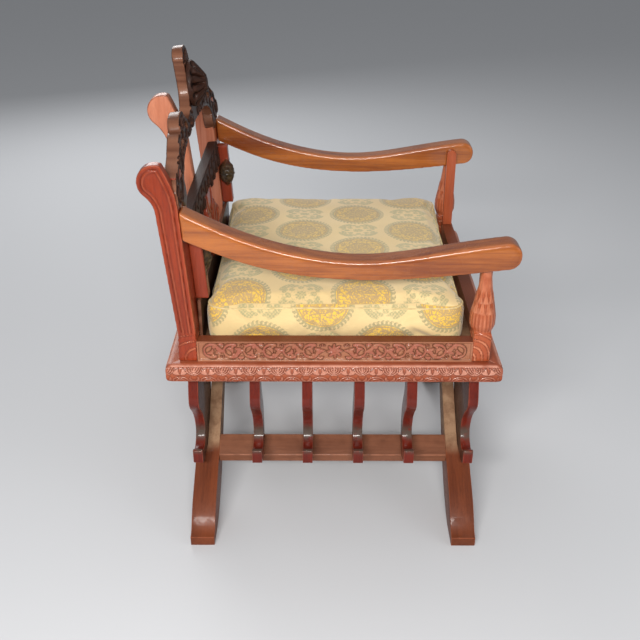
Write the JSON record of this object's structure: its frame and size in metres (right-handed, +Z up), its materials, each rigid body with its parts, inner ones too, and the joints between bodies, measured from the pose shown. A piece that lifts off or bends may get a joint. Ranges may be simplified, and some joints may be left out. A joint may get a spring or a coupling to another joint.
{
  "type": "savonarola armchair",
  "caption": "Low armchair on two crossed X leg frames with C-scroll ribs, carved seat frame, scrolled arms, pierced crest between curled uprights and a loose box cushion.",
  "frame": {"origin": "on the floor, in the middle of the chair's plan", "axes": "+Z up; -Y towards the front, where the sitter faces; +X towards the sitter's left"},
  "size_m": [0.71, 0.6924, 0.9197],
  "materials": {
    "carved_mahogany": "waxed dark mahogany, deeply carved",
    "frieze_mahogany": "waxed mahogany, carved with running scrolls",
    "molding_mahogany": "waxed red-brown mahogany, carved edge",
    "post_mahogany": "polished red-brown mahogany",
    "arm_mahogany": "polished and worn orange-brown mahogany",
    "leg_mahogany": "polished on the outer half, plain on the inner half",
    "rib_mahogany": "glossy deep red mahogany",
    "plain_board": "unpolished wood",
    "cushion_fabric": "woven fabric, straw ground with golden medallions"
  },
  "bodies": {
    "root": {"arm_bracket_left": "post_mahogany", "arm_bracket_right": "post_mahogany", "arm_left": "arm_mahogany", "arm_right": "arm_mahogany", "back_board": "carved_mahogany", "back_post_left": "post_mahogany", "back_post_right": "post_mahogany", "back_stile_left": "carved_mahogany", "back_stile_right": "carved_mahogany", "base_rail_left": "plain_board", "base_rail_right": "plain_board", "bearer_left": "plain_board", "bearer_right": "plain_board", "centre_upright": "post_mahogany", "crest": "carved_mahogany", "crest_shell": "carved_mahogany", "cross_bosses": "leg_mahogany", "cross_rod": "leg_mahogany", "cushion": "cushion_fabric", "frieze_front": "frieze_mahogany", "frieze_left": "frieze_mahogany", "frieze_rear": "frieze_mahogany", "frieze_right": "frieze_mahogany", "front_leg_left": "leg_mahogany", "front_leg_right": "leg_mahogany", "front_post_left": "post_mahogany", "front_post_right": "post_mahogany", "front_rib_left": "rib_mahogany", "front_rib_right": "rib_mahogany", "mid_rail": "carved_mahogany", "molding_front": "molding_mahogany", "molding_left": "molding_mahogany", "molding_rear": "molding_mahogany", "molding_right": "molding_mahogany", "rear_leg_left": "leg_mahogany", "rear_leg_right": "leg_mahogany", "rear_rib_left": "rib_mahogany", "rear_rib_right": "rib_mahogany", "rib_left_1": "rib_mahogany", "rib_left_2": "rib_mahogany", "rib_left_3": "rib_mahogany", "rib_left_4": "rib_mahogany", "rib_right_1": "rib_mahogany", "rib_right_2": "rib_mahogany", "rib_right_3": "rib_mahogany", "rib_right_4": "rib_mahogany", "seat_panel": "plain_board", "splat": "carved_mahogany"}
  },
  "joints": []
}
